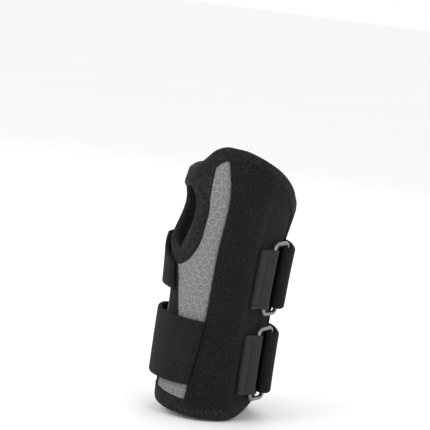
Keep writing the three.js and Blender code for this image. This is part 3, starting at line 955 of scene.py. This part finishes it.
# ---- the overlay, the pocket and the covers ----
overlay = cut_panel(
    "dorsal_overlay_cloth",
    lambda s: overlay_seam(s) - 0.4,
    fixed(OVERLAY["to"]),
    lambda phi: sheet_bottom(phi) - TUCK,
    lambda phi: sheet_top(phi) + TUCK,
    lambda phi: GAP + ridge(phi),
    lambda phi: GAP + ridge(phi) + OVERLAY["thick"],
    cell=1.6,
    relief=lambda phi, s: wrinkle(phi, s, 22, 0.3, 4) + wrinkle(phi, s, 7, 0.12, 5),
)
finished(overlay, LOOP, "loop", "sleeve", ["dorsal_overlay"])
declare_sheet(overlay, (0.046, 0.146), OVERLAY["thick"], "dorsal_panel_cloth")
pocket = cut_panel(
    "palmar_stay_pocket_cloth",
    fixed(POCKET["from"]),
    fixed(POCKET["to"]),
    lambda phi: max(POCKET["bottom"], sheet_bottom(phi) + GAP),
    lambda phi: min(POCKET["top"], sheet_top(phi) - GAP),
    fixed(GAP),
    fixed(GAP + POCKET["thick"]),
    place=on_pocket,
    cell=1.8,
)
finished(pocket, LOOP, "loop", "sleeve", ["palmar_stay_pocket"])
declare_sheet(pocket, (0.048, 0.111), POCKET["thick"], "palmar_panel_cloth")
stay_cover = cut_panel(
    "ulnar_stay_cover_cloth",
    fixed(STAY_COVER["from"]),
    fixed(STAY_COVER["to"]),
    fixed(STAY_COVER["bottom"]),
    fixed(STAY_COVER["top"]),
    fixed(STAY_COVER["low"]),
    fixed(STAY_COVER["high"]),
)
finished(stay_cover, BINDING, "binding", "sleeve", ["ulnar_stay_cover"])
declare_sheet(stay_cover, (0.0105, 0.106), 1, "ulnar_panel_cloth")

seam_strip = through(SEAM_STRIP["edge"])
strip = cut_panel(
    "radial_seam_tape",
    lambda s: seam_strip(s) - SEAM_STRIP["width"],
    seam_strip,
    lambda phi: sheet_bottom(phi) - TUCK,
    fixed(SEAM_STRIP["top"]),
    fixed(SEAM_STRIP["low"]),
    fixed(SEAM_STRIP["high"]),
    hole=RIM_TAPE - TUCK,
    cell=1.2,
)
finished(strip, BAND_LOOP, "binding", "sleeve")


# ---- bindings ----
def edge_outline():
    """The sleeve's whole free edge, as points in millimetres on the flat cloth, with round corners."""
    points = [Vector((phi * MM_PER_DEGREE, lower_edge(phi))) for phi in spaced(66, 401, 1.5)]
    points += [Vector((OPENING[1] * MM_PER_DEGREE, s)) for s in spaced(24, 119, 2)]
    points += [Vector((phi * MM_PER_DEGREE, upper_edge(phi))) for phi in spaced(402, 64, 1.5)]
    points += [Vector((OPENING[0] * MM_PER_DEGREE, s)) for s in spaced(120, 10, 2)]
    count = len(points)
    for _ in range(10):
        points = [
            points[i].lerp((points[i - 1] + points[(i + 1) % count]) / 2, 0.6)
            if corner_near(points[i])
            else points[i]
            for i in range(count)
        ]
    return points


def corner_near(p):
    ends = (OPENING[0] * MM_PER_DEGREE, OPENING[1] * MM_PER_DEGREE)
    return min(abs(p.x - ends[0]), abs(p.x - ends[1])) < 9 and (p.y < 32 or p.y > 112)


def tape_path(points, closed, width, limit=None):
    """A path for tape() along points whose left side is the cloth. width(p, x) is the tape's width at the
    point p, where x is how much it runs towards higher phi."""
    count = len(points)
    path = []
    travelled = 0.0
    for i, p in enumerate(points):
        before = points[i - 1] if closed or i else p
        after = points[(i + 1) % count] if closed or i < count - 1 else p
        along = (after - before).normalized()
        inward = Vector((-along.y, along.x))
        travelled += (p - before).length

        def place(d, h, p=p, inward=inward, travelled=travelled):
            q = p + inward * d
            phi = q.x / MM_PER_DEGREE
            s = min(q.y, limit(phi)) if limit else q.y
            puff = wrinkle(travelled / MM_PER_DEGREE, d, 5, 0.12, 9) if h > 0 else 0
            return on_sleeve(phi, s, h + puff)

        path.append((travelled, width(p, inward.x), place))
    return path


def along_tape(path, inset):
    """A run for stitches(), inset millimetres short of the tape's inner edge, on its outer face."""
    places = [(place(width - inset, 0.62), place(width - inset, 1.62)) for _, width, place in path]
    run = []
    for i, (p, above) in enumerate(places):
        normal = (above - p).normalized()
        along = (places[min(len(places) - 1, i + 1)][0] - places[max(0, i - 1)][0]).normalized()
        run.append((p, normal, normal.cross(along).normalized()))
    return run


outline = edge_outline()
low_side = OPENING[0] * MM_PER_DEGREE
high_side = OPENING[1] * MM_PER_DEGREE


def stretch_of(first, last):
    """The outline from one (x, y) place to another, with an overlap."""
    def nearest(target):
        return min(range(len(outline)), key=lambda i: (outline[i] - Vector(target)).length)

    a, b = nearest(first), nearest(last)
    indices = range(a, b + 1) if b > a else list(range(a, len(outline))) + list(range(b + 1))
    return [outline[i] for i in indices]


TAPES = [
    ("proximal_binding", (low_side, 14), (high_side, 34), HEM_TAPE),
    ("dorsal_edge_binding", (high_side, 34), (high_side, 106), SIDE_TAPE),
    ("distal_binding", (high_side, 106), (low_side, 112), TOP_TAPE),
    ("ulnar_edge_binding", (low_side, 112), (low_side, 14), SIDE_TAPE),
]
sewn = []
for name, first, last, width in TAPES:
    path = tape_path(stretch_of(first, last), False, lambda p, x, width=width: width)
    finished(tape(name + "_tape", path, False), BINDING, "binding", "sleeve", [name])
    sewn.append(along_tape(path, 1.2))
rim_path = tape_path(list(reversed(hole_points)), True, rim_width, lambda phi: sheet_top(phi) + 0.2)
rim = tape("thumb_hole_binding_tape", rim_path, True)
finished(rim, BINDING, "binding", "sleeve", ["thumb_hole_binding"])
sewn.append(along_tape([place for place in rim_path if place[1] == RIM_TAPE], 1.2))


# ---- stays ----
def spoon(s):
    return smooth(s, *STAY["spoon"])


def rounding_off(phi, end):
    return end["drop"] * ((phi - end["middle"]) / end["half"]) ** 4


palmar_stay = cut_panel(
    "palmar_stay_sheet",
    lambda s: lerp(STAY_SIDES["narrow"], STAY_SIDES["spoon"], spoon(s)),
    fixed(STAY_SIDES["ulnar"]),
    lambda phi: STAY["bottom"] + rounding_off(phi, STAY_FOOT),
    lambda phi: STAY["top"] - rounding_off(phi, STAY_TIP),
    fixed(STAY["float"]),
    fixed(STAY["float"] + STAY["thick"]),
    place=on_stay_path,
)
finished(palmar_stay, ALUMINIUM, "stay_aluminium", "stay", ["palmar_stay"])
for name in ("radial_stay", "ulnar_stay"):
    finished(frame["nodes"][name], SPRING_STEEL, "stay_steel")


# ---- rings, keepers and bands ----
def ring_piece(name, band):
    inner = in_section(sleeve_radius, INNER_LEG[0], band["s"], INNER_LEG[1])
    outer = in_section(sleeve_radius, OUTER_LEG[0], band["s"], OUTER_LEG[1])
    across = (outer - inner).normalized()
    up = Vector((across.y, -across.x))
    middle = (inner + outer) / 2
    half_width, half_length = (outer - inner).length / 2, RING_LENGTH / 2
    steps = 10
    loop = []
    for corner, (sx, sy) in enumerate(((1, 1), (-1, 1), (-1, -1), (1, -1))):
        for k in range(steps + 1):
            angle = math.pi / 2 * (corner + k / steps)
            x = sx * (half_width - RING_CORNER) + RING_CORNER * math.cos(angle)
            y = sy * (half_length - RING_CORNER) + RING_CORNER * math.sin(angle)
            loop.append((Vector((x, y)), Vector((math.cos(angle), math.sin(angle)))))
    bm = bmesh.new()
    layer = bm.verts.layers.float_vector.new("cloth")
    sides = 16
    a = band["s"] / BEND_RADIUS
    axis = Vector((math.sin(a), 0, math.cos(a)))
    rings = []
    for p, out in loop:
        ring = []
        for k in range(sides):
            angle = 2 * math.pi * k / sides
            x = p.x + out.x * WIRE * math.cos(angle)
            y = p.y + out.y * WIRE * math.cos(angle)
            place = middle + across * x + up * WIRE * math.sin(angle)
            vert = bm.verts.new(to_frame(place, band["s"]) + axis * y * MM)
            vert[layer] = (y, k, 0)
            ring.append(vert)
        rings.append(ring)
    for one, two in zip(rings, rings[1:] + rings[:1]):
        for k in range(sides):
            bm.faces.new([one[k], two[k], two[(k + 1) % sides], one[(k + 1) % sides]])
    return as_object(name, bm)


def leg_arc(leg, band, radius, start, end, steps, flip):
    """Stations round a ring's leg, from one angle to another off the outward direction."""
    stations = []
    for k in range(steps + 1):
        turn = math.radians(lerp(start, end, k / steps))

        def place(s, o, turn=turn):
            out = outward(sleeve_radius, leg[0], s)
            centre = in_section(sleeve_radius, leg[0], s, leg[1])
            direction = Vector((
                out.x * math.cos(turn) - out.y * math.sin(turn),
                out.x * math.sin(turn) + out.y * math.cos(turn),
            ))
            return to_frame(centre + direction * (radius + flip * o), s)

        stations.append(place)
    return stations


def flat_stations(phis, mid, flip, place=on_band):
    return [lambda s, o, phi=phi: place(phi, s, mid(phi) + flip * o) for phi in phis]


def ribbon(name, stations, s_low, s_high, thick, rounded=(False, False), cell=2.4, relief=None):
    """A strip that passes through stations in turn. Each station places (s, o)."""
    middle = (s_low + s_high) / 2
    lengths = [0.0]
    for one, two in zip(stations, stations[1:]):
        lengths.append(lengths[-1] + (one(middle, 0) - two(middle, 0)).length / MM)

    def point(u, v, o):
        distance = u * lengths[-1]
        k = max(i for i, length in enumerate(lengths[:-1]) if length <= distance + 1e-9)
        t = (distance - lengths[k]) / max(1e-9, lengths[k + 1] - lengths[k])
        s = lerp(s_low, s_high, v)
        return stations[k](s, o).lerp(stations[k + 1](s, o), t)

    size = (lengths[-1], s_high - s_low)
    return shell(name, size, thick, point, cell=cell, rounded=(rounded, (True, True)), relief=relief)


UNDER_LEG = BAND_THICK / 2 + WIRE + GAP
for side, band in BANDS.items():
    bottom, top = band["s"] - BAND_WIDTH / 2, band["s"] + BAND_WIDTH / 2
    tilt_body, tail_body, end_body = f"{side}_ring_body", f"{side}_tail_body", f"{side}_tail_end_body"

    ring = ring_piece(f"{side}_ring_wire", band)
    finished(ring, NICKEL, "ring", tilt_body, [f"{side}_ring"])

    half = KEEPER["width"] / 2
    keeper_path = flat_stations(spaced(KEEPER["from"], -8, 1.5), fixed(KEEPER["low"]), 1, on_sleeve)
    keeper_path += leg_arc(INNER_LEG, band, KEEPER["loop"], 170, 0, 12, -1)
    top_h = INNER_LEG[1] + KEEPER["loop"]
    keeper_path += flat_stations(
        spaced(INNER_LEG[0] - 1, KEEPER["from"], 1.2),
        lambda phi: lerp(KEEPER["high"], top_h, smooth(phi, -14, INNER_LEG[0])),
        -1,
        on_sleeve,
    )
    keeper = ribbon(
        f"{side}_keeper_webbing",
        keeper_path,
        band["s"] - half,
        band["s"] + half,
        KEEPER["thick"],
        rounded=(True, True),
        cell=0.8,
    )
    finished(keeper, WEBBING, "webbing", "sleeve", [f"{side}_ring_keeper"])

    anchor = through(band["anchor"])
    long_run = cut_panel(
        f"{side}_band_long_run",
        fixed(BAND_CUT),
        anchor,
        lambda phi, band=band, bottom=bottom: bottom + band["bottom"] * smooth(phi, *BAND_SHIFT),
        lambda phi, band=band, top=top: top + band["top"] * smooth(phi, *BAND_SHIFT),
        band_low,
        lambda phi: band_low(phi) + BAND_THICK,
        place=on_band,
        rounded=((False, True), (True, True)),
        relief=lambda phi, s: wrinkle(phi, s, 16, 0.25, 12),
    )
    finished(long_run, BAND_LOOP, "band", "sleeve", [f"{side}_band"])

    to_ring = flat_stations(spaced(BAND_CUT, OUTER_LEG[0] + 4, 2), band_mid, 1)
    to_ring += leg_arc(OUTER_LEG, band, UNDER_LEG, 180, 225, 5, -1)
    under = ribbon(f"{side}_band_to_ring", to_ring, bottom, top, BAND_THICK)
    finished(under, BAND_LOOP, "band", nodes=[f"{side}_band_fold"])
    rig.blend(under, "sleeve", tilt_body, on_band(52, band["s"], 2), on_band(38, band["s"], 2))

    over = leg_arc(OUTER_LEG, band, UNDER_LEG, 225, 360, 14, -1)
    over += flat_stations(spaced(OUTER_LEG[0] + 2, TAIL_CUT, 2), tail_mid, -1)
    fold = ribbon(f"{side}_band_fold_and_tail", over, bottom, top, BAND_THICK)
    finished(fold, BAND_LOOP, "band", nodes=[f"{side}_tail"])
    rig.blend(fold, tilt_body, tail_body, on_band(22, band["s"], 7), on_band(34, band["s"], 7))

    tail = cut_panel(
        f"{side}_tail_free_end",
        fixed(TAIL_CUT),
        lambda s, band=band: TAIL_END - TAIL_CORNER * ((s - band["s"]) / (BAND_WIDTH / 2)) ** 4,
        fixed(bottom),
        fixed(top),
        lambda phi: tail_mid(phi) - BAND_THICK / 2,
        lambda phi: tail_mid(phi) + BAND_THICK / 2,
        place=on_band,
        rounded=((False, True), (True, True)),
    )
    finished(tail, BAND_LOOP, "band", nodes=[f"{side}_tail_end"])
    hinge, beyond = on_band(TAIL_HINGE, band["s"], 5), on_band(TAIL_HINGE + 16, band["s"], 5)
    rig.blend(tail, tail_body, end_body, hinge, beyond)

    patch = cut_panel(
        f"{side}_hook_tape",
        fixed(HOOK_FROM),
        fixed(TAIL_END - HOOK_INSET[0]),
        fixed(bottom + HOOK_INSET[1]),
        fixed(top - HOOK_INSET[1]),
        lambda phi: tail_mid(phi) - BAND_THICK / 2 - HOOK_GAP - HOOK_THICK + 0.1,
        lambda phi: tail_mid(phi) - BAND_THICK / 2 + 0.05,
        place=on_band,
    )
    finished(patch, HOOK, "hook", end_body, [f"{side}_hook_patch"])


# ---- sewing ----
def between(edge, start, end, inset, h, place=on_sleeve):
    """A run at inset millimetres beside edge, which gives phi at s, from one s to another."""
    return seam([(edge(s) + inset / MM_PER_DEGREE, s, h(edge(s))) for s in spaced(start, end, 2.5)], place)


overlay_top = GAP + OVERLAY["thick"] + THREAD_LIFT
for inset in (1.6, 3.6):
    sewn.append(between(overlay_seam, 11.5, 151, inset, lambda phi: overlay_top + ridge(phi)))
for start, end in ((16, 52), (108, 136)):
    sewn.append(between(fixed(OVERLAY["to"]), start, end, -1.5, lambda phi: overlay_top))
pocket_top = GAP + POCKET["thick"] + THREAD_LIFT
for edge, inset in ((POCKET["from"], 1.2), (POCKET["to"], -1.2)):
    sewn.append(between(fixed(edge), 22, 128, inset, lambda phi: pocket_top, on_pocket))
for seam_phi, end in ((ULNAR_SEAM, 124), (PALMAR_SEAM, 130)):
    sewn.append(between(fixed(seam_phi), 11, end, -1.3, lambda phi: THREAD_LIFT))
finished(stitches("edge_stitches", sewn), THREAD, "binding", "sleeve")

zigzag = [between(seam_strip, 14, 85, -1.2, lambda phi: 0.5)]
zigzag.append(between(fixed(ULNAR_SEAM), 11, 124, 0.2, lambda phi: 0.12))
finished(stitches("seam_zigzag", zigzag, 1.5, 0.98, 0.24, 3.4), THREAD, "binding", "sleeve")

for side, band in BANDS.items():
    anchor = through(band["anchor"])
    foot = band["s"] - BAND_WIDTH / 2 + band["bottom"] + 1.5
    head = {"lower": band["s"] + BAND_WIDTH / 2 + band["top"] - 1.5, "upper": 86}[side]
    face = BAND_LIFT + BAND_THICK + THREAD_LIFT
    rows = [between(anchor, foot, head, -2.6, lambda phi: face, on_band)]
    finished(stitches(f"{side}_band_tack", rows, 1.5, 0.98, 0.24, 2.6), THREAD, "band", "sleeve")

    top_face = KEEPER["high"] + KEEPER["thick"] / 2 + 0.05
    low_s, high_s = band["s"] - KEEPER["box"][2], band["s"] + KEEPER["box"][2]
    low_phi, high_phi = KEEPER["box"][:2]
    box = [seam([(phi, s, top_face) for s in spaced(low_s, high_s, 3)]) for phi in (low_phi, high_phi)]
    box += [seam([(phi, s, top_face) for phi in spaced(low_phi, high_phi, 2)]) for s in (low_s, high_s)]
    finished(stitches(f"{side}_keeper_stitches", box, 2.4), THREAD, "webbing", "sleeve")

    across = (band["s"] - HOOK_SEWN, band["s"] + HOOK_SEWN)
    tail_face = [(phi, s) for s in across for phi in (HOOK_FROM, TAIL_END - 7)]
    sides = [[tail_face[a], tail_face[b]] for a, b in ((0, 1), (1, 3), (3, 2), (2, 0))]
    frame_lines = []
    for (phi_a, s_a), (phi_b, s_b) in sides:
        steps = spaced(0, 1, 0.1)
        places = [(lerp(phi_a, phi_b, k), lerp(s_a, s_b, k)) for k in steps]
        raised = [(phi, s, tail_mid(phi) + BAND_THICK / 2 + THREAD_LIFT) for phi, s in places]
        frame_lines.append(seam(raised, on_band))
    finished(stitches(f"{side}_hook_stitches", frame_lines), THREAD, "band", f"{side}_tail_end_body")


# ---- floor, light and camera ----
def studio():
    bpy.ops.mesh.primitive_plane_add(size=40)
    floor = bpy.context.object
    floor.name = "floor"
    floor.data.materials.append(flooring())
    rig.stage(floor)
    world = bpy.data.worlds.new("studio")
    bpy.context.scene.world = world
    world.use_nodes = True
    world.node_tree.nodes["Background"].inputs["Color"].default_value = (1, 1, 1, 1)
    world.node_tree.nodes["Background"].inputs["Strength"].default_value = 1.0
    bpy.context.scene.view_settings.view_transform = "Standard"
    target = Vector((0, 0, 0.08))
    for name, place, size, power in (
        ("key", (-0.45, -1.1, 0.9), 0.7, 7),
        ("fill", (1.1, -0.7, 0.5), 0.8, 2),
        ("back", (-0.4, 1.0, 0.9), 0.6, 3),
    ):
        light = bpy.data.lights.new(name, "AREA")
        light.size = size
        light.energy = power
        lamp = bpy.data.objects.new(name, light)
        lamp.location = place
        lamp.rotation_euler = (target - lamp.location).to_track_quat("-Z", "Y").to_euler()
        bpy.context.scene.collection.objects.link(lamp)


def camera():
    azimuth, elevation, roll = math.radians(30), math.radians(8), math.radians(7)
    distance = 1.2
    pixel = 0.583 * MM
    picture = 430
    seen = Vector((227, 274.5))  # where the object's middle falls, in pixels from the top left corner
    middle = Vector((0, 0, 0.0814))
    back = Vector((
        math.sin(azimuth) * math.cos(elevation),
        -math.cos(azimuth) * math.cos(elevation),
        math.sin(elevation),
    ))
    right = Vector((math.cos(azimuth), math.sin(azimuth), 0))
    up = back.cross(right)
    turned_right = right * math.cos(roll) + up * math.sin(roll)
    turned_up = up * math.cos(roll) - right * math.sin(roll)
    offset = turned_right * (picture / 2 - seen.x) + turned_up * (seen.y - picture / 2)
    place = middle + back * distance
    sight = (place - middle - offset * pixel).normalized()
    across = turned_up.cross(sight).normalized()
    data = bpy.data.cameras.new("camera")
    data.sensor_width = 36
    data.lens = data.sensor_width * distance / (picture * pixel)
    data.clip_end = 60
    obj = bpy.data.objects.new("camera", data)
    basis = Matrix((across, sight.cross(across), sight)).transposed().to_4x4()
    obj.matrix_world = Matrix.Translation(place) @ basis
    bpy.context.scene.collection.objects.link(obj)
    bpy.context.scene.camera = obj


studio()
camera()

visual_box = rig.bounds()
with open("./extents.json", "w") as out:
    json.dump({"cad": [list(c) for c in cad_box], "visual": [list(c) for c in visual_box]}, out)
